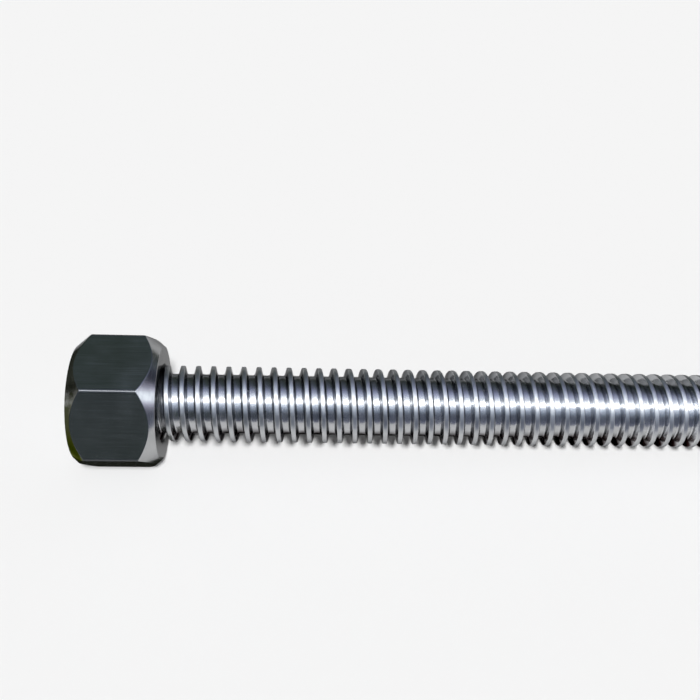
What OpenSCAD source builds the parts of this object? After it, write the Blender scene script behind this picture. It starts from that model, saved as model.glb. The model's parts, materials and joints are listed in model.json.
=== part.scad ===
// Acme threaded rod lying on a flat surface, with a heavy hex nut run on at one end.
// The axis runs along +X from the nut to the free end, +Z is up, and the origin is on
// the surface, under the middle of the part. All sizes are in millimetres.

/* [Thread] */
// Outside diameter over the rod's thread crests
thread_dia = 25.4; // [20:0.1:32]
// Axial distance from one thread to the next
pitch = 5.08; // [4:0.01:6.5]
// Slope of each thread flank from a plane square to the axis
flank_angle = 14.5; // [10:0.5:18]
// Angle round the axis at which the crest meets the rod's nut end
start_angle = 125; // [0:1:359]
// Straight steps in each turn of the thread
steps_per_turn = 20; // [16:2:24]

/* [Rod] */
// Length of the rod from end to end
rod_length = 304.8; // [150:0.1:400]
// Width of the 45 degree chamfer on each end
end_chamfer = 3; // [1:0.1:4]

/* [Nut] */
// Distance across the nut's flats
nut_flats = 41.275; // [36:0.025:55]
// Thickness of the nut from face to face
nut_height = 28; // [18:0.1:40]
// Diameter of the round face that the chamfer leaves on each side
nut_face_dia = 38.2; // [33:0.1:41]
// Angle of the chamfer from the nut's face
nut_chamfer_angle = 49; // [20:1:60]
// How far the countersink opens past the nut's thread
countersink_margin = 0.4; // [0.1:0.1:1]
// Distance of the nut's outer face from the rod's end
nut_offset = 0; // [0:0.1:100]

/* [Fit] */
// Radial gap between the rod's thread and the nut's, at the crests and at the roots
crest_clearance = 0.254; // [0.1:0.001:0.4]
// Axial gap between the rod's thread and the nut's, on each flank
flank_clearance = 0.2; // [0.05:0.01:0.4]

/* [Hidden] */
$fn = 96;

steel = [0.66, 0.68, 0.70];
dark_steel = [0.42, 0.44, 0.45];

// The working depth of an Acme thread is half its pitch, and the rod's root is deeper by the clearance
crest_radius = thread_dia / 2;
working_depth = pitch / 2;
root_radius = crest_radius - working_depth - crest_clearance;

// Rod and groove are equally wide at half the working depth, less the clearance on each flank
crest_half_width = pitch / 4 - working_depth / 2 * tan(flank_angle) - flank_clearance;

// The nut's thread is the rod's, grown by the clearances
groove_radius = crest_radius + crest_clearance;
bore_radius = crest_radius - working_depth;
countersink_radius = groove_radius + countersink_margin;

// One tooth in axial section: axial distance from the crest's middle, then radius
function tooth(inner_radius, outer_radius, gap) =
    let (
        inner_half = crest_half_width + gap + (crest_radius - inner_radius) * tan(flank_angle),
        outer_half = crest_half_width + gap + (crest_radius - outer_radius) * tan(flank_angle)
    )
    [
        [-inner_half, inner_radius],
        [-outer_half, outer_radius],
        [outer_half, outer_radius],
        [inner_half, inner_radius]
    ];

rod_tooth = tooth(root_radius, crest_radius, 0);
groove_tooth = tooth(bore_radius, groove_radius, flank_clearance);

// The nut's flat, at the tip of its chamfer, and the free end's last full crest touch the surface
face_radius = nut_face_dia / 2;
corner_radius = nut_flats / sqrt(3);
flat_tip_drop = max(0, nut_flats / 2 - face_radius) * tan(nut_chamfer_angle);
nut_contact_x = nut_offset + nut_height - flat_tip_drop;
rod_contact_x = rod_length - end_chamfer;
tilt = atan((nut_flats / 2 - crest_radius) / (rod_contact_x - nut_contact_x));
axis_height = nut_contact_x * sin(tilt) + nut_flats / 2 * cos(tilt);
end_face_radius = crest_radius - end_chamfer;
nut_end_x = nut_offset * cos(tilt) - face_radius * sin(tilt);
rod_start_x = -end_face_radius * sin(tilt);
free_end_x = rod_length * cos(tilt) + end_face_radius * sin(tilt);
middle_x = (min(nut_end_x, rod_start_x) + free_end_x) / 2;

// Lays what is modelled along the rod's own axis down on the surface
module at_rest() {
    translate([-middle_x, 0, axis_height])
        rotate([0, tilt, 0])
            children();
}

// Turns a solid made along +Z to lie along the rod's axis
module along_axis() {
    rotate([0, 90, 0])
        children();
}

// A tooth swept along the right-hand helix, filled to the axis, from one whole turn to another
module thread_solid(section, first_turn, last_turn) {
    steps = (last_turn - first_turn) * steps_per_turn;
    size = len(section);
    rings = [
        for (i = [0:steps])
            let (
                turn = first_turn + i / steps_per_turn,
                angle = start_angle + 360 * turn
            )
            for (p = section)
                [pitch * turn + p[0], p[1] * cos(angle), p[1] * sin(angle)]
    ];
    first_centre = [pitch * (first_turn + 0.5), 0, 0];
    last_centre = [pitch * (last_turn - 0.5), 0, 0];
    first_index = len(rings);
    last_index = first_index + 1;

    // Flanks and crest, then the root that joins each turn to the next
    tooth_quads = [
        for (i = [0:steps - 1])
            for (k = [0:size - 2])
                [i * size + k, i * size + k + 1, (i + 1) * size + k + 1, (i + 1) * size + k]
    ];
    root_quads = [
        for (i = [0:steps - steps_per_turn - 1])
            let (next = i + steps_per_turn)
            [(i + 1) * size - 1, next * size, (next + 1) * size, (i + 2) * size - 1]
    ];
    sides = [
        for (q = concat(tooth_quads, root_quads))
            each [[q[0], q[1], q[2]], [q[0], q[2], q[3]]]
    ];

    // Fans from the axis close both ends
    start_rim = concat(
        [for (k = [size - 1:-1:0]) k],
        [for (i = [1:steps_per_turn]) i * size]
    );
    end_rim = concat(
        [for (k = [0:size - 1]) steps * size + k],
        [for (i = [1:steps_per_turn]) (steps - i + 1) * size - 1]
    );
    start_fan = [
        for (k = [0:len(start_rim) - 1])
            [first_index, start_rim[k], start_rim[(k + 1) % len(start_rim)]]
    ];
    end_fan = [
        for (k = [0:len(end_rim) - 1])
            [last_index, end_rim[k], end_rim[(k + 1) % len(end_rim)]]
    ];

    polyhedron(
        points = concat(rings, [first_centre, last_centre]),
        faces = concat(sides, start_fan, end_fan),
        convexity = 10
    );
}

// A round bar with both ends chamfered, which the thread is cut from
module chamfered_bar() {
    along_axis()
        rotate_extrude()
            polygon([
                [0, 0],
                [end_face_radius, 0],
                [groove_radius, end_chamfer + crest_clearance],
                [groove_radius, rod_length - end_chamfer - crest_clearance],
                [end_face_radius, rod_length],
                [0, rod_length]
            ]);
}

module threaded_rod() {
    color(steel)
        at_rest()
            intersection() {
                thread_solid(rod_tooth, -1, ceil(rod_length / pitch) + 1);
                chamfered_bar();
            }
}

// The cone that turns a face's corners off, widening along +Z from that face
module chamfer_cone() {
    cylinder(
        h = nut_height,
        r1 = face_radius,
        r2 = face_radius + nut_height / tan(nut_chamfer_angle)
    );
}

// A hexagon bar, standing on one flat, with its corners turned off at both faces
module chamfered_hexagon() {
    along_axis()
        intersection() {
            rotate([0, 0, 90])
                cylinder(h = nut_height, r = corner_radius, $fn = 6);
            chamfer_cone();
            translate([0, 0, nut_height])
                mirror([0, 0, 1])
                    chamfer_cone();
        }
}

// The 45 degree cone that opens the bore at a face, pointing along +X from that face
module countersink() {
    along_axis()
        cylinder(h = countersink_radius, r1 = countersink_radius, r2 = 0);
}

module hex_nut() {
    first_turn = floor(nut_offset / pitch) - 1;
    last_turn = ceil((nut_offset + nut_height) / pitch) + 1;
    color(dark_steel)
        at_rest()
            difference() {
                translate([nut_offset, 0, 0])
                    chamfered_hexagon();
                thread_solid(groove_tooth, first_turn, last_turn);
                translate([nut_offset, 0, 0])
                    countersink();
                translate([nut_offset + nut_height, 0, 0])
                    rotate([0, 0, 180])
                        countersink();
            }
}

threaded_rod();
hex_nut();
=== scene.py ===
import json
import math

import bpy
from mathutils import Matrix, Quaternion, Vector


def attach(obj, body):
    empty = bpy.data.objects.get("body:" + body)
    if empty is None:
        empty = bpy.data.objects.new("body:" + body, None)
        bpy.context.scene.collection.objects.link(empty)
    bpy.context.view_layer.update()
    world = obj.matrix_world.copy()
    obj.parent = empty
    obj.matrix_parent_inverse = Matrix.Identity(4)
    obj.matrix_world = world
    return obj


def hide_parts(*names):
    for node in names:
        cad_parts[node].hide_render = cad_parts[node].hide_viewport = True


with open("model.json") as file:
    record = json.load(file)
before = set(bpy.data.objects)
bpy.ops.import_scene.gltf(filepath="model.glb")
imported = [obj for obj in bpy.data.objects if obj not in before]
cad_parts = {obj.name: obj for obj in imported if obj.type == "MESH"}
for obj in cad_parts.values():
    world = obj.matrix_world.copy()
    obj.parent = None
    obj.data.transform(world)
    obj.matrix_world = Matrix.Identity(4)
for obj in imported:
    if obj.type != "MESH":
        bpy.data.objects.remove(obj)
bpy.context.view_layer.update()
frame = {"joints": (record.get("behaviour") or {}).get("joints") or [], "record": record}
scene = bpy.context.scene

# Threaded rod: a round bar of bright steel with one right-hand Acme thread along its whole length.
# The thread rolls leave the flanks smooth, round the crests off a little and fillet the roots. Both
# ends are faced square and chamfered past the thread's root, so that a nut starts easily.
rod_length = 0.3048
crest_radius = 0.0127
pitch = 0.00508
flank_slope = math.tan(math.radians(14.5))
crest_clearance = 0.000254
flank_clearance = 0.0002
start_angle = math.radians(125)
end_chamfer = 0.003
crest_round = 0.00028
root_fillet = 0.00040
round_steps = 3
thread_steps = 72
lathe_steps = 144
rod_crease = math.radians(35)
weld_distance = 1e-6
end_tolerance = 2e-5

working_depth = pitch / 2
root_radius = crest_radius - working_depth - crest_clearance
crest_half = pitch / 4 - working_depth / 2 * flank_slope - flank_clearance

travel = frame["joints"][0]
axis = Vector(travel["axis"])
tilt = math.atan2(-axis.z, axis.x)
mounts = {mount["name"]: mount for mount in frame["record"]["mounts"]}
rod_start = Vector(mounts["free_end_face"]["pos_m"]) - axis * rod_length


def draw_profile(name, points):
    """A wire through points given as (along the axis, radius), pulled out of one vertex."""
    bpy.ops.object.select_all(action="DESELECT")
    bpy.ops.mesh.primitive_plane_add(size=pitch)
    wire = bpy.context.object
    wire.name = name
    bpy.ops.object.mode_set(mode="EDIT")
    bpy.ops.mesh.select_mode(type="VERT")
    bpy.ops.mesh.select_all(action="SELECT")
    bpy.ops.mesh.merge(type="CENTER")
    bpy.ops.transform.translate(value=(points[0][0], points[0][1], 0))
    for here, there in zip(points, points[1:]):
        pull = (there[0] - here[0], there[1] - here[1], 0)
        bpy.ops.mesh.extrude_vertices_move(TRANSFORM_OT_translate={"value": pull})
    bpy.ops.object.mode_set(mode="OBJECT")
    return wire


def pick(piece, part, test):
    """Selects the vertices, edges or faces that pass the test, and leaves the piece in edit mode."""
    bpy.ops.object.mode_set(mode="EDIT")
    bpy.ops.mesh.select_mode(type=part)
    bpy.ops.mesh.select_all(action="DESELECT")
    bpy.ops.object.mode_set(mode="OBJECT")
    mesh = piece.data
    for element in {"VERT": mesh.vertices, "EDGE": mesh.edges, "FACE": mesh.polygons}[part]:
        element.select = test(element)
    bpy.ops.object.mode_set(mode="EDIT")


def round_corners(wire, points, radius):
    """Rounds the wire's corners at these points."""
    def is_corner(vertex):
        return min(math.dist(vertex.co[:2], point) for point in points) < weld_distance

    pick(wire, "VERT", is_corner)
    bpy.ops.mesh.bevel(offset=radius, segments=round_steps, affect="VERTICES")
    bpy.ops.object.mode_set(mode="OBJECT")


def sweep(wire, rise, turns, steps):
    """Turns the wire round the rod's axis, rising along it, and closes the solid."""
    screw = wire.modifiers.new("sweep", "SCREW")
    screw.axis = "X"
    screw.angle = math.tau
    screw.screw_offset = rise
    screw.iterations = turns
    screw.steps = steps
    screw.render_steps = steps
    bpy.ops.object.modifier_apply(modifier=screw.name)
    bpy.ops.object.mode_set(mode="EDIT")
    bpy.ops.mesh.select_all(action="SELECT")
    bpy.ops.mesh.remove_doubles(threshold=weld_distance)
    bpy.ops.mesh.fill_holes(sides=0)
    bpy.ops.mesh.select_all(action="SELECT")
    bpy.ops.mesh.normals_make_consistent(inside=False)
    bpy.ops.object.mode_set(mode="OBJECT")
    return wire


def turn_on_lathe(name, points):
    """A round solid with this profile."""
    return sweep(draw_profile(name, points), rise=0, turns=1, steps=lathe_steps)


def thread_solid(name, inner_radius, outer_radius, gap, first_turn, last_turn, outer_round, inner_round):
    """A solid thread from one whole turn to another, in mesh with the rod's own."""
    inner_half = crest_half + gap + (crest_radius - inner_radius) * flank_slope
    outer_half = crest_half + gap + (crest_radius - outer_radius) * flank_slope
    feet = [(-inner_half, inner_radius), (inner_half, inner_radius)]
    tops = [(-outer_half, outer_radius), (outer_half, outer_radius)]
    ends = [(-pitch / 2, inner_radius), (pitch / 2, inner_radius)]
    wire = draw_profile(name, [ends[0], feet[0], tops[0], tops[1], feet[1], ends[1]])
    round_corners(wire, tops, outer_round)
    round_corners(wire, feet, inner_round)
    thread = sweep(wire, pitch, last_turn - first_turn, thread_steps)
    thread.location.x = first_turn * pitch
    thread.rotation_euler.x = start_angle
    bpy.ops.object.transform_apply()
    return thread


def combine(piece, tool, operation):
    """Cuts the tool from the piece, or keeps what lies in both, and removes the tool."""
    bpy.ops.object.select_all(action="DESELECT")
    bpy.context.view_layer.objects.active = piece
    boolean = piece.modifiers.new("combine", "BOOLEAN")
    boolean.operation = operation
    boolean.solver = "MANIFOLD"
    boolean.object = tool
    bpy.ops.object.modifier_apply(modifier=boolean.name)
    piece.data.materials.clear()
    bpy.data.objects.remove(tool)


def lay_down(piece, crease):
    """Shades a piece made along the rod's axis and lays it where the rod lies, its place in its mesh."""
    bpy.ops.object.select_all(action="DESELECT")
    piece.select_set(True)
    bpy.context.view_layer.objects.active = piece
    bpy.ops.object.shade_smooth_by_angle(angle=crease)
    even = piece.modifiers.new("even", "WEIGHTED_NORMAL")
    even.keep_sharp = True
    bpy.ops.object.modifier_apply(modifier=even.name)
    piece.location = rod_start
    piece.rotation_euler.y = tilt
    bpy.ops.object.transform_apply()


rod = thread_solid(
    "threaded_rod_look",
    inner_radius=root_radius,
    outer_radius=crest_radius,
    gap=0,
    first_turn=-1,
    last_turn=math.ceil(rod_length / pitch) + 1,
    outer_round=crest_round,
    inner_round=root_fillet,
)
bar_radius = crest_radius + crest_clearance
bar_chamfer = end_chamfer + crest_clearance
bar_end = crest_radius - end_chamfer
bar = turn_on_lathe("bar", [
    (0, 0),
    (0, bar_end),
    (bar_chamfer, bar_radius),
    (rod_length - bar_chamfer, bar_radius),
    (rod_length, bar_end),
    (rod_length, 0),
])
combine(rod, bar, "INTERSECT")


def add_node(material, kind, inputs, **properties):
    """Adds a node. Each input is a constant or another node's output."""
    node = material.node_tree.nodes.new("ShaderNode" + kind)
    for name, value in properties.items():
        setattr(node, name, value)
    for socket, value in inputs.items():
        if isinstance(value, bpy.types.NodeSocket):
            material.node_tree.links.new(value, node.inputs[socket])
        else:
            node.inputs[socket].default_value = value
    return node


def calculate(material, operation, first, second):
    """The outcome of one sum on two values."""
    return add_node(material, "Math", {0: first, 1: second}, operation=operation).outputs["Value"]


def calculate_point(material, operation, first, second):
    """The outcome of one sum on two points, axis by axis."""
    return add_node(material, "VectorMath", {0: first, 1: second}, operation=operation).outputs["Vector"]


def between(material, value, low, high, at_low, at_high):
    """Maps a value from one range to another, and holds it there."""
    limits = {"From Min": low, "From Max": high, "To Min": at_low, "To Max": at_high}
    return add_node(material, "MapRange", {"Value": value, **limits}).outputs["Result"]


def blend(material, factor, stops):
    """A smooth run of colours over a factor from 0 to 1."""
    ramp = add_node(material, "ValToRGB", {"Fac": factor})
    stop_list = ramp.color_ramp.elements
    while len(stop_list) < len(stops):
        stop_list.new(1)
    for stop, (position, colour) in zip(stop_list, stops):
        stop.position = position
        stop.color = (*colour, 1)
    return ramp.outputs["Color"]


def lay_over(material, factor, under, over, blend_type="MIX"):
    """One colour laid over another."""
    layers = {"Factor": factor, "A": under, "B": over}
    return add_node(material, "Mix", layers, data_type="RGBA", blend_type=blend_type).outputs["Result"]


def new_steel(name, edge_tint):
    """A plain metal, with the shaded point in the rod's own frame and its distance from the axis."""
    material = bpy.data.materials.new(name)
    material.use_nodes = True
    shader = material.node_tree.nodes["Principled BSDF"]
    shader.inputs["Metallic"].default_value = 1.0
    shader.inputs["Specular Tint"].default_value = (edge_tint, edge_tint, edge_tint, 1)
    place = add_node(material, "TexCoord", {})
    point = add_node(
        material,
        "Mapping",
        {"Vector": place.outputs["Object"], "Location": rod_start, "Rotation": (0, tilt, 0)},
        vector_type="TEXTURE",
    ).outputs["Vector"]
    across = calculate_point(material, "MULTIPLY", point, (0, 1, 1))
    radius = add_node(material, "VectorMath", {0: across}, operation="LENGTH")
    return material, shader, point, radius.outputs["Value"]


# Where a noise's usual spread starts and ends, and where its dark and its light patches do
noise_low = 0.3
noise_high = 0.7
patch_dark = 0.35
patch_light = 0.65


def noise(material, point, scale, detail):
    """Soft cloudy noise from 0 to 1, with scale cells to the metre."""
    texture = add_node(material, "TexNoise", {"Vector": point, "Scale": scale, "Detail": detail})
    return texture.outputs["Fac"]


def spread(material, cloud, at_low, at_high):
    """Stretches a noise's usual spread over a range."""
    return between(material, cloud, noise_low, noise_high, at_low, at_high)


def mottle(material, cloud, dark, light):
    """Dark and light patches of two tones."""
    return blend(material, cloud, [(patch_dark, dark), (patch_light, light)])


def turned_lines(material, point, radius, spacing):
    """Fine lines that run round the axis, on round and on square faces alike."""
    stretch = 0.03
    slow = calculate_point(material, "MULTIPLY", point, (1, stretch, stretch))
    out = add_node(material, "CombineXYZ", {"X": radius})
    place = calculate_point(material, "ADD", slow, out.outputs["Vector"])
    return noise(material, place, scale=1 / spacing, detail=2)


def angle_round(material, point):
    """The angle of a point round its X axis, upwards from the front, in radians."""
    split = add_node(material, "SeparateXYZ", {"Vector": point})
    front = calculate(material, "MULTIPLY", split.outputs["Y"], -1.0)
    return calculate(material, "ARCTAN2", split.outputs["Z"], front)


def share_of_turn(material, angle):
    """An angle as a share of a turn: 0 at the back, 0.25 below, 0.5 in front and 0.75 on top."""
    return between(material, angle, -math.pi, math.pi, 0, 1)


def finish_steel(material, shader, colour, roughness, lines, depth):
    """Gives the metal its colour, its gloss and its fine lines."""
    line_strength = 0.3
    bump = add_node(material, "Bump", {"Height": lines, "Strength": line_strength, "Distance": depth})
    link = material.node_tree.links.new
    link(colour, shader.inputs["Base Color"])
    link(roughness, shader.inputs["Roughness"])
    link(bump.outputs["Normal"], shader.inputs["Normal"])


# Rolled steel: dull crests left from the drawn bar, and smooth grooves that carry painted light along
# the upper front, painted shade along the underside and painted shade that deepens towards the roots
steel_colour = (0.50, 0.51, 0.52)
# The grooves' painted shade colour for the underside and painted light colour for the upper front
painted_shade_colour = (0.11, 0.09, 0.09)
painted_light_colour = (0.85, 0.86, 0.88)
root_share = 0.15
crest_share = 0.85
crest_full = 0.97
rolled, rolled_shader, rolled_point, rolled_radius = new_steel("rolled_steel", edge_tint=0.15)
rolled_lines = turned_lines(rolled, rolled_point, rolled_radius, spacing=0.00014)
rolled_patches = noise(rolled, rolled_point, scale=140, detail=4)
rolled_height = between(rolled, rolled_radius, root_radius, crest_radius, 0, 1)
rolled_run = spread(rolled, rolled_patches, -0.12, 0.12)
rolled_angle = calculate(rolled, "ADD", angle_round(rolled, rolled_point), rolled_run)
# Painted light and shade round the axis: the grooves are bright along the upper front and dark along the
# underside
rolled_groove_light_and_shade = blend(rolled, share_of_turn(rolled, rolled_angle), [
    (0.00, steel_colour),
    (0.25, painted_shade_colour),
    (0.43, painted_shade_colour),
    (0.50, painted_light_colour),
    (0.70, painted_light_colour),
    (0.80, (0.52, 0.53, 0.55)),
    (1.00, steel_colour),
])
rolled_stain = between(rolled, rolled_patches, patch_dark, patch_light, 0.85, 1.0)
# Painted shade: the grooves darken towards their roots; the noise stain above is the steel's own tone
rolled_root_shade = between(rolled, rolled_height, 0, root_share, 0.6, 1.0)
rolled_stain_and_root_shade = calculate(rolled, "MULTIPLY", rolled_stain, rolled_root_shade)
# The grooves' painted light and shade, times the stain and the painted root shade
rolled_stained_painted_grooves = lay_over(rolled, 1.0, rolled_groove_light_and_shade, rolled_stain_and_root_shade, "MULTIPLY")
rolled_crest = mottle(rolled, rolled_patches, (0.46, 0.47, 0.48), (0.55, 0.56, 0.57))
rolled_on_top = between(rolled, rolled_height, crest_share, crest_full, 0, 1)
rolled_colour = lay_over(rolled, rolled_on_top, rolled_stained_painted_grooves, rolled_crest)
rolled_dull = blend(rolled, rolled_height, [
    (0.00, (0.22, 0.22, 0.22)),
    (root_share, (0.16, 0.16, 0.16)),
    (crest_share, (0.16, 0.16, 0.16)),
    (1.00, (0.34, 0.34, 0.34)),
])
rolled_wander = spread(rolled, rolled_patches, -0.04, 0.06)
rolled_gloss = calculate(rolled, "ADD", rolled_dull, rolled_wander)
finish_steel(rolled, rolled_shader, rolled_colour, rolled_gloss, rolled_lines, depth=0.00001)
rod.data.materials.append(rolled)

# Faced steel on both ends and their chamfers, with fine rings left by the lathe
faced, faced_shader, faced_point, faced_radius = new_steel("faced_steel", edge_tint=0.15)
faced_rings = turned_lines(faced, faced_point, faced_radius, spacing=0.00018)
faced_patches = noise(faced, faced_point, scale=160, detail=4)
faced_colour = mottle(faced, faced_patches, (0.42, 0.43, 0.44), (0.52, 0.53, 0.54))
faced_gloss = spread(faced, faced_rings, 0.22, 0.32)
finish_steel(faced, faced_shader, faced_colour, faced_gloss, faced_rings, depth=0.00001)
rod.data.materials.append(faced)


def on_cut_end(face):
    """Whether a face of the rod lies on one of its ends or their chamfers."""
    inward = min(face.center.x, rod_length - face.center.x)
    out = math.hypot(face.center.y, face.center.z)
    return inward < weld_distance or out > bar_end + inward - end_tolerance


bpy.ops.object.select_all(action="DESELECT")
rod.select_set(True)
pick(rod, "FACE", on_cut_end)
rod.active_material_index = 1
bpy.ops.object.material_slot_assign()
bpy.ops.object.mode_set(mode="OBJECT")
lay_down(rod, rod_crease)
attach(rod, "rod")
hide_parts("threaded_rod")

# Hex nut: a heavy nut cut from drawn hexagon bar. Its corners are turned off at both faces, its bore
# is countersunk and tapped to the rod's thread, and it is run on until its outer face is flush with
# the rod's end.
nut_flats = 0.041275
nut_height = 0.028
nut_face_radius = 0.0191
nut_chamfer_slope = math.tan(math.radians(49))
countersink_margin = 0.0004
corner_bevel = 0.0004
corner_steps = 3
edge_bevel = 0.00015
edge_steps = 2
edge_angle = math.radians(25)
flat_tolerance = math.radians(20)
nut_crease = math.radians(30)

corner_radius = nut_flats / math.sqrt(3)
bore_radius = crest_radius - working_depth
groove_radius = crest_radius + crest_clearance
countersink_radius = groove_radius + countersink_margin

bpy.ops.object.select_all(action="DESELECT")
bpy.ops.mesh.primitive_cylinder_add(
    vertices=6,
    radius=corner_radius,
    depth=nut_height + pitch,
    location=(nut_height / 2, 0, 0),
    rotation=(0, math.pi / 2, 0),
)
nut = bpy.context.object
nut.name = "hex_nut_look"
bpy.ops.object.transform_apply()


def is_bar_corner(edge):
    """Whether an edge runs along the hexagon bar from end to end."""
    first, last = [nut.data.vertices[index].co.x for index in edge.vertices]
    return abs(first - last) > nut_height


pick(nut, "EDGE", is_bar_corner)
bpy.ops.mesh.bevel(offset=corner_bevel, segments=corner_steps, affect="EDGES")
bpy.ops.object.mode_set(mode="OBJECT")

# The turned chamfers at both faces
blank_radius = corner_radius + pitch
blank_drop = (blank_radius - nut_face_radius) * nut_chamfer_slope
blank = turn_on_lathe("blank", [
    (0, 0),
    (0, nut_face_radius),
    (blank_drop, blank_radius),
    (nut_height - blank_drop, blank_radius),
    (nut_height, nut_face_radius),
    (nut_height, 0),
])
combine(nut, blank, "INTERSECT")
soften = nut.modifiers.new("soften", "BEVEL")
soften.width = edge_bevel
soften.segments = edge_steps
soften.limit_method = "ANGLE"
soften.angle_limit = edge_angle
bpy.ops.object.modifier_apply(modifier=soften.name)

# The countersunk and tapped bore
for face, inward in ((0, 1), (nut_height, -1)):
    countersink = turn_on_lathe("countersink", [
        (face - inward * pitch, 0),
        (face - inward * pitch, countersink_radius + pitch),
        (face + inward * countersink_radius, 0),
    ])
    combine(nut, countersink, "DIFFERENCE")
tap = thread_solid(
    "tap",
    inner_radius=bore_radius,
    outer_radius=groove_radius,
    gap=flank_clearance,
    first_turn=-1,
    last_turn=math.ceil(nut_height / pitch) + 1,
    outer_round=crest_round,
    inner_round=crest_round,
)
combine(nut, tap, "DIFFERENCE")

# Drawn steel on the flats, with faint lines along the bar and a dull skin on the corners
skin_colour = (0.17, 0.175, 0.18, 1)
skin_roughness = 0.36
line_stretch = 0.02
line_share = 0.45
drawn, drawn_shader, drawn_point, drawn_radius = new_steel("drawn_steel", edge_tint=0.05)
drawn_run = calculate_point(drawn, "MULTIPLY", drawn_point, (line_stretch, 1, 1))
drawn_lines = noise(drawn, drawn_run, scale=4000, detail=2)
drawn_patches = noise(drawn, drawn_point, scale=90, detail=5)
drawn_mix = add_node(drawn, "Mix", {"Factor": line_share, "A": drawn_patches, "B": drawn_lines})
drawn_tone = drawn_mix.outputs["Result"]
drawn_clean = mottle(drawn, drawn_tone, (0.38, 0.39, 0.39), (0.50, 0.51, 0.52))
drawn_gloss = between(drawn, drawn_tone, patch_dark, patch_light, 0.12, 0.21)
skin_start = corner_radius - corner_bevel
skin_full = corner_radius - corner_bevel / 2
drawn_corner = between(drawn, drawn_radius, skin_start, skin_full, 0, 1)
drawn_colour = lay_over(drawn, drawn_corner, drawn_clean, skin_colour)
drawn_dull = add_node(drawn, "Mix", {"Factor": drawn_corner, "A": drawn_gloss, "B": skin_roughness})
drawn_roughness = drawn_dull.outputs["Result"]
finish_steel(drawn, drawn_shader, drawn_colour, drawn_roughness, drawn_lines, depth=0.000003)
nut.data.materials.append(drawn)

# Turned steel on the faces, the chamfers and the thread, with fine tool marks round the axis, and with
# a painted dark olive reflection, in colour and edge tint, on the front and underside of the outer
# chamfer
clean_edge = 0.30
# The painted reflection on the outer chamfer: its edge tint, its colour, and where it fades along the
# axis and at the rim
reflection_paint_edge = (0.34, 0.36, 0.21)
reflection_paint_colour = (0.065, 0.070, 0.046, 1)
reflection_paint_full = 0.004
reflection_paint_end = 0.007
reflection_paint_rim = 0.0003
turned, turned_shader, turned_point, turned_radius = new_steel("turned_steel", edge_tint=clean_edge)
turned_marks = turned_lines(turned, turned_point, turned_radius, spacing=0.00016)
turned_patches = noise(turned, turned_point, scale=200, detail=4)
turned_split = add_node(turned, "SeparateXYZ", {"Vector": turned_point})
turned_near = between(turned, turned_split.outputs["X"], reflection_paint_full, reflection_paint_end, 1, 0)
turned_rim = between(turned, turned_radius, nut_face_radius - reflection_paint_rim, nut_face_radius, 0, 1)
turned_outer = calculate(turned, "MULTIPLY", turned_near, turned_rim)
turned_run = spread(turned, turned_patches, -0.25, 0.25)
turned_angle = calculate(turned, "ADD", angle_round(turned, turned_point), turned_run)
turned_low = blend(turned, share_of_turn(turned, turned_angle), [
    (0.08, (0, 0, 0)),
    (0.22, (1, 1, 1)),
    (0.64, (1, 1, 1)),
    (0.70, (0, 0, 0)),
])
# Painted reflection: a dark olive tone, in colour and edge tint, on the front and the underside of the
# outer chamfer
turned_painted_reflection = calculate(turned, "MULTIPLY", turned_outer, turned_low)
turned_clean = mottle(turned, turned_patches, (0.39, 0.395, 0.40), (0.45, 0.455, 0.46))
turned_colour = lay_over(turned, turned_painted_reflection, turned_clean, reflection_paint_colour)
turned_edge = blend(turned, turned_painted_reflection, [
    (0.0, (clean_edge, clean_edge, clean_edge)),
    (1.0, reflection_paint_edge),
])
turned.node_tree.links.new(turned_edge, turned_shader.inputs["Specular Tint"])
turned_gloss = spread(turned, turned_marks, 0.16, 0.24)
finish_steel(turned, turned_shader, turned_colour, turned_gloss, turned_marks, depth=0.00001)
nut.data.materials.append(turned)


def is_turned(face):
    """Whether a face of the nut is on its faces, chamfers or bore, and not on a flat."""
    leaning = abs(face.normal.x) > math.sin(flat_tolerance)
    return leaning or math.hypot(face.center.y, face.center.z) < countersink_radius


bpy.ops.object.select_all(action="DESELECT")
nut.select_set(True)
pick(nut, "FACE", is_turned)
nut.active_material_index = 1
bpy.ops.object.material_slot_assign()
bpy.ops.object.mode_set(mode="OBJECT")
lay_down(nut, nut_crease)
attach(nut, "nut")
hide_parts("hex_nut")

# Studio floor: a broad sheet of matt white board that the rod lies on. Far from the rod it runs out
# into the white of the room, so that its edge is not seen.
floor_size = 14.0
board_colour = (0.90, 0.90, 0.90, 1)
board_roughness = 0.9
room_white = (0.92, 0.92, 0.92, 1)
fade_start = 0.3
fade_end = 1.5
bpy.ops.object.select_all(action="DESELECT")
bpy.ops.mesh.primitive_plane_add(size=floor_size)
floor = bpy.context.object
floor.name = "floor"
board = bpy.data.materials.new("white_board")
board.use_nodes = True
board_shader = board.node_tree.nodes["Principled BSDF"]
board_shader.inputs["Base Color"].default_value = board_colour
board_shader.inputs["Roughness"].default_value = board_roughness
board_shader.inputs["Specular IOR Level"].default_value = 0.0


def seen_by_eye(owner):
    """One for rays from the camera and for mirrored or clear rays, and nought for rays that light."""
    ray = add_node(owner, "LightPath", {}).outputs
    seen = calculate(owner, "MAXIMUM", ray["Is Camera Ray"], ray["Is Glossy Ray"])
    return calculate(owner, "MAXIMUM", seen, ray["Is Transmission Ray"])


board_place = add_node(board, "TexCoord", {})
board_far = add_node(board, "VectorMath", {0: board_place.outputs["Object"]}, operation="LENGTH")
board_run_out = between(board, board_far.outputs["Value"], fade_start, fade_end, 0, 1)
board_fade = calculate(board, "MULTIPLY", board_run_out, seen_by_eye(board))
board_white = add_node(board, "Emission", {"Color": room_white})
board_mix = add_node(
    board,
    "MixShader",
    {0: board_fade, 1: board_shader.outputs["BSDF"], 2: board_white.outputs["Emission"]},
)
board_end = board.node_tree.nodes["Material Output"]
board.node_tree.links.new(board_mix.outputs["Shader"], board_end.inputs["Surface"])
floor.data.materials.append(board)

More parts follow.
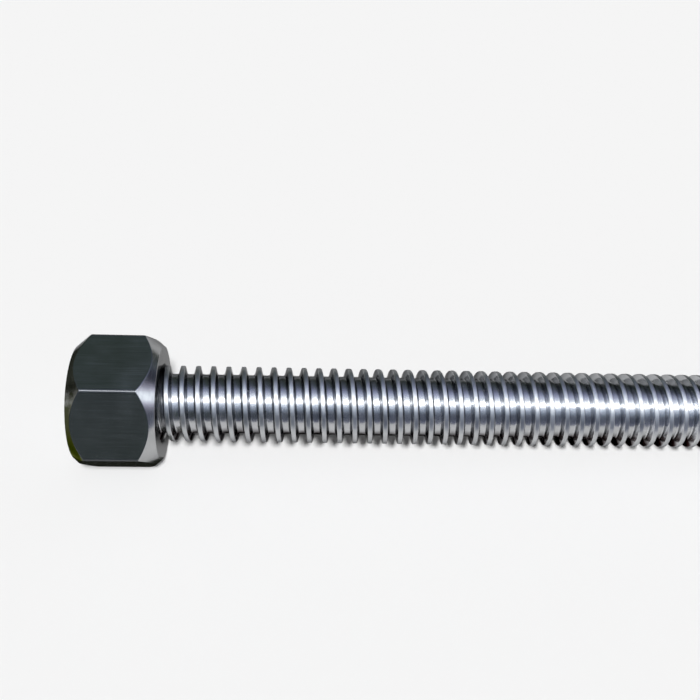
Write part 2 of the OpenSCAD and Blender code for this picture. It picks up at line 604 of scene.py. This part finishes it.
# Dark tent: a half-round cloth with closed ends that hangs over the set. Only the steel mirrors it: it
# is dim at the front and the back and glows overhead, where the bright band of a softbox crosses it.
tent_radius = 2.0
tent_length = 5.0
tent_low = 0.002
tent_sides = 96
end_lean = 0.5
bpy.ops.object.select_all(action="DESELECT")
bpy.ops.mesh.primitive_cylinder_add(
    vertices=tent_sides,
    radius=tent_radius,
    depth=tent_length,
    rotation=(0, math.pi / 2, 0),
)
tent = bpy.context.object
tent.name = "dark_tent"
bpy.ops.object.transform_apply()
bpy.ops.object.mode_set(mode="EDIT")
bpy.ops.mesh.select_all(action="SELECT")
bpy.ops.mesh.bisect(plane_co=(0, 0, tent_low), plane_no=(0, 0, 1), clear_inner=True)
bpy.ops.object.mode_set(mode="OBJECT")


def new_cloth(name):
    """A cloth that glows a little, with the colour of its glow left open."""
    material = bpy.data.materials.new(name)
    material.use_nodes = True
    nodes = material.node_tree.nodes
    nodes.remove(nodes["Principled BSDF"])
    glow = add_node(material, "Emission", {})
    material.node_tree.links.new(glow.outputs["Emission"], nodes["Material Output"].inputs["Surface"])
    return material, glow.inputs["Color"]


# The cloth's tone by degrees from the front, over the top, to the back
softbox_glow = (10.4, 10.4, 10.4)
beside_softbox = (2.30, 2.45, 2.60)
over_glows = [
    (0, (0.055, 0.068, 0.070)),
    (14, (0.058, 0.070, 0.074)),
    (27, (0.22, 0.26, 0.34)),
    (37, (0.43, 0.50, 0.64)),
    (46, (0.78, 0.90, 1.12)),
    (56, (1.30, 1.42, 1.62)),
    (63.0, beside_softbox),
    (63.8, softbox_glow),
    (70.2, softbox_glow),
    (71.0, beside_softbox),
    (84, (1.35, 1.43, 1.56)),
    (94, (0.76, 0.85, 1.05)),
    (104, (0.40, 0.46, 0.61)),
    (115, (0.20, 0.23, 0.33)),
    (126, (0.060, 0.080, 0.076)),
    (138, (0.055, 0.075, 0.064)),
    (180, (0.070, 0.080, 0.060)),
]

# A bluish haze over the back of the cloth, which grows to the right
haze_start = -0.42
haze_full = 0.15
over_hazes = [
    (84, (0, 0, 0)),
    (104, (0.17, 0.16, 0.30)),
    (122, (0.12, 0.12, 0.22)),
    (150, (0.055, 0.06, 0.10)),
    (180, (0, 0, 0)),
]
over_cloth, over_glow = new_cloth("over_cloth")
over_place = add_node(over_cloth, "TexCoord", {}).outputs["Object"]
over_turn = between(over_cloth, angle_round(over_cloth, over_place), 0, math.pi, 0, 1)
over_colour = blend(over_cloth, over_turn, [(degrees / 180, tone) for degrees, tone in over_glows])
over_haze = blend(over_cloth, over_turn, [(degrees / 180, tone) for degrees, tone in over_hazes])
over_split = add_node(over_cloth, "SeparateXYZ", {"Vector": over_place})
over_right = between(over_cloth, over_split.outputs["X"], haze_start, haze_full, 0, 1)
over_sum = lay_over(over_cloth, over_right, over_colour, over_haze, "ADD")
over_cloth.node_tree.links.new(over_sum, over_glow)
tent.data.materials.append(over_cloth)

# The closed ends: dark on the left, and with one bright patch on the right
left_cloth, left_glow = new_cloth("left_cloth")
left_glow.default_value = (0.05, 0.055, 0.04, 1)
tent.data.materials.append(left_cloth)
patch_place = (tent_length / 2, -0.22, 0.80)
right_cloth, right_glow = new_cloth("right_cloth")
right_place = add_node(right_cloth, "TexCoord", {}).outputs["Object"]
right_far = add_node(right_cloth, "VectorMath", {0: right_place, 1: patch_place}, operation="DISTANCE")
right_colour = blend(right_cloth, right_far.outputs["Value"], [
    (0.20, (2.10, 2.25, 2.40)),
    (0.42, (0.90, 0.90, 1.15)),
    (0.65, (0.38, 0.37, 0.50)),
    (1.00, (0.05, 0.055, 0.080)),
])
right_cloth.node_tree.links.new(right_colour, right_glow)
tent.data.materials.append(right_cloth)
for face in tent.data.polygons:
    if abs(face.normal.x) > end_lean:
        face.material_index = 1 if face.center.x < 0 else 2
tent.visible_camera = False
tent.visible_diffuse = False
tent.visible_shadow = False

# Black flags: dark cards that keep the white board out of the steel. One stands along the front, one
# past the nut's outer face, and one lies under the nut's front. Only the steel mirrors them.
front_size = (1.6, 0.05)
front_place = (0, -0.07, front_size[1] / 2)
left_size = (0.20, 0.08)
left_place = (-0.20, 0.10, left_size[1] / 2)
low_size = (0.040, 0.018)
low_place = (-0.141, -0.017, 0.0003)
upright = math.pi / 2


def put_flag(name, cloth, size, place, turn):
    """A card of the given length and width that is only mirrored."""
    bpy.ops.object.select_all(action="DESELECT")
    bpy.ops.mesh.primitive_plane_add(size=1, location=place, rotation=turn)
    flag = bpy.context.object
    flag.name = name
    flag.scale = (size[0], size[1], 1)
    bpy.ops.object.transform_apply()
    flag.data.materials.append(cloth)
    flag.visible_camera = False
    flag.visible_diffuse = False
    flag.visible_shadow = False


# The front flag's tone, which is lighter at its foot and bluer to the right of the nut
foot_top = 0.008
dark_start = 0.020
nut_side = -0.13
rod_side = -0.05
front_haze = (0.07, 0.075, 0.13, 1)
front_cloth, front_glow = new_cloth("front_flag_cloth")
front_point = add_node(front_cloth, "TexCoord", {}).outputs["Object"]
front_split = add_node(front_cloth, "SeparateXYZ", {"Vector": front_point})
front_height = between(front_cloth, front_split.outputs["Z"], foot_top, dark_start, 0, 1)
front_colour = blend(front_cloth, front_height, [
    (0.0, (0.130, 0.145, 0.190)),
    (1.0, (0.062, 0.076, 0.078)),
])
front_right = between(front_cloth, front_split.outputs["X"], nut_side, rod_side, 0, 1)
front_sum = lay_over(front_cloth, front_right, front_colour, front_haze, "ADD")
front_cloth.node_tree.links.new(front_sum, front_glow)
put_flag("front_flag", front_cloth, front_size, front_place, (upright, 0, 0))
put_flag("left_flag", left_cloth, left_size, left_place, (upright, 0, math.pi / 2))
put_flag("low_flag", left_cloth, low_size, low_place, (0, 0, 0))

# Studio light: one soft key light from the front, a little to the right and far enough off to light the
# board evenly, in a dim even room. The steel mirrors the tent and not the key, and the room is white
# only where it is seen or mirrored.
key_elevation = math.radians(58)
key_azimuth = math.radians(12)
key_data = bpy.data.lights.new("key", "SUN")
key_data.energy = 3.21
key_data.angle = math.radians(10)
key = bpy.data.objects.new("key", key_data)
scene.collection.objects.link(key)
key_reach = Vector((
    math.sin(key_azimuth) * math.cos(key_elevation),
    -math.cos(key_azimuth) * math.cos(key_elevation),
    math.sin(key_elevation),
))
key.rotation_euler = key_reach.to_track_quat("Z", "Y").to_euler()
key.visible_glossy = False

room_fill = 0.16
room_seen = 1.0
room = bpy.data.worlds.new("room")
scene.world = room
room.use_nodes = True
room_light = room.node_tree.nodes["Background"]
room_light.inputs["Color"].default_value = room_white
room_strength = between(room, seen_by_eye(room), 0, 1, room_fill, room_seen)
room.node_tree.links.new(room_strength, room_light.inputs["Strength"])

# Camera: above and in front of the rod's nut end, turned so that the rod runs level across the picture
# and out of it on the right.
camera_target = Vector((-0.0622, 0, 0.0473))
camera_distance = 0.2773
camera_azimuth = math.radians(-3.55)
camera_elevation = math.radians(47.92)
camera_roll = math.radians(2.65)
camera_data = bpy.data.cameras.new("camera")
camera_data.lens = 44.95
camera_data.clip_start = 0.01
camera = bpy.data.objects.new("camera", camera_data)
scene.collection.objects.link(camera)
camera_reach = Vector((
    math.sin(camera_azimuth) * math.cos(camera_elevation),
    -math.cos(camera_azimuth) * math.cos(camera_elevation),
    math.sin(camera_elevation),
))
camera.location = camera_target + camera_reach * camera_distance
level = camera_reach.to_track_quat("Z", "Y")
camera.rotation_euler = (level @ Quaternion((0, 0, 1), camera_roll)).to_euler()
scene.camera = camera

scene.view_settings.view_transform = "Standard"
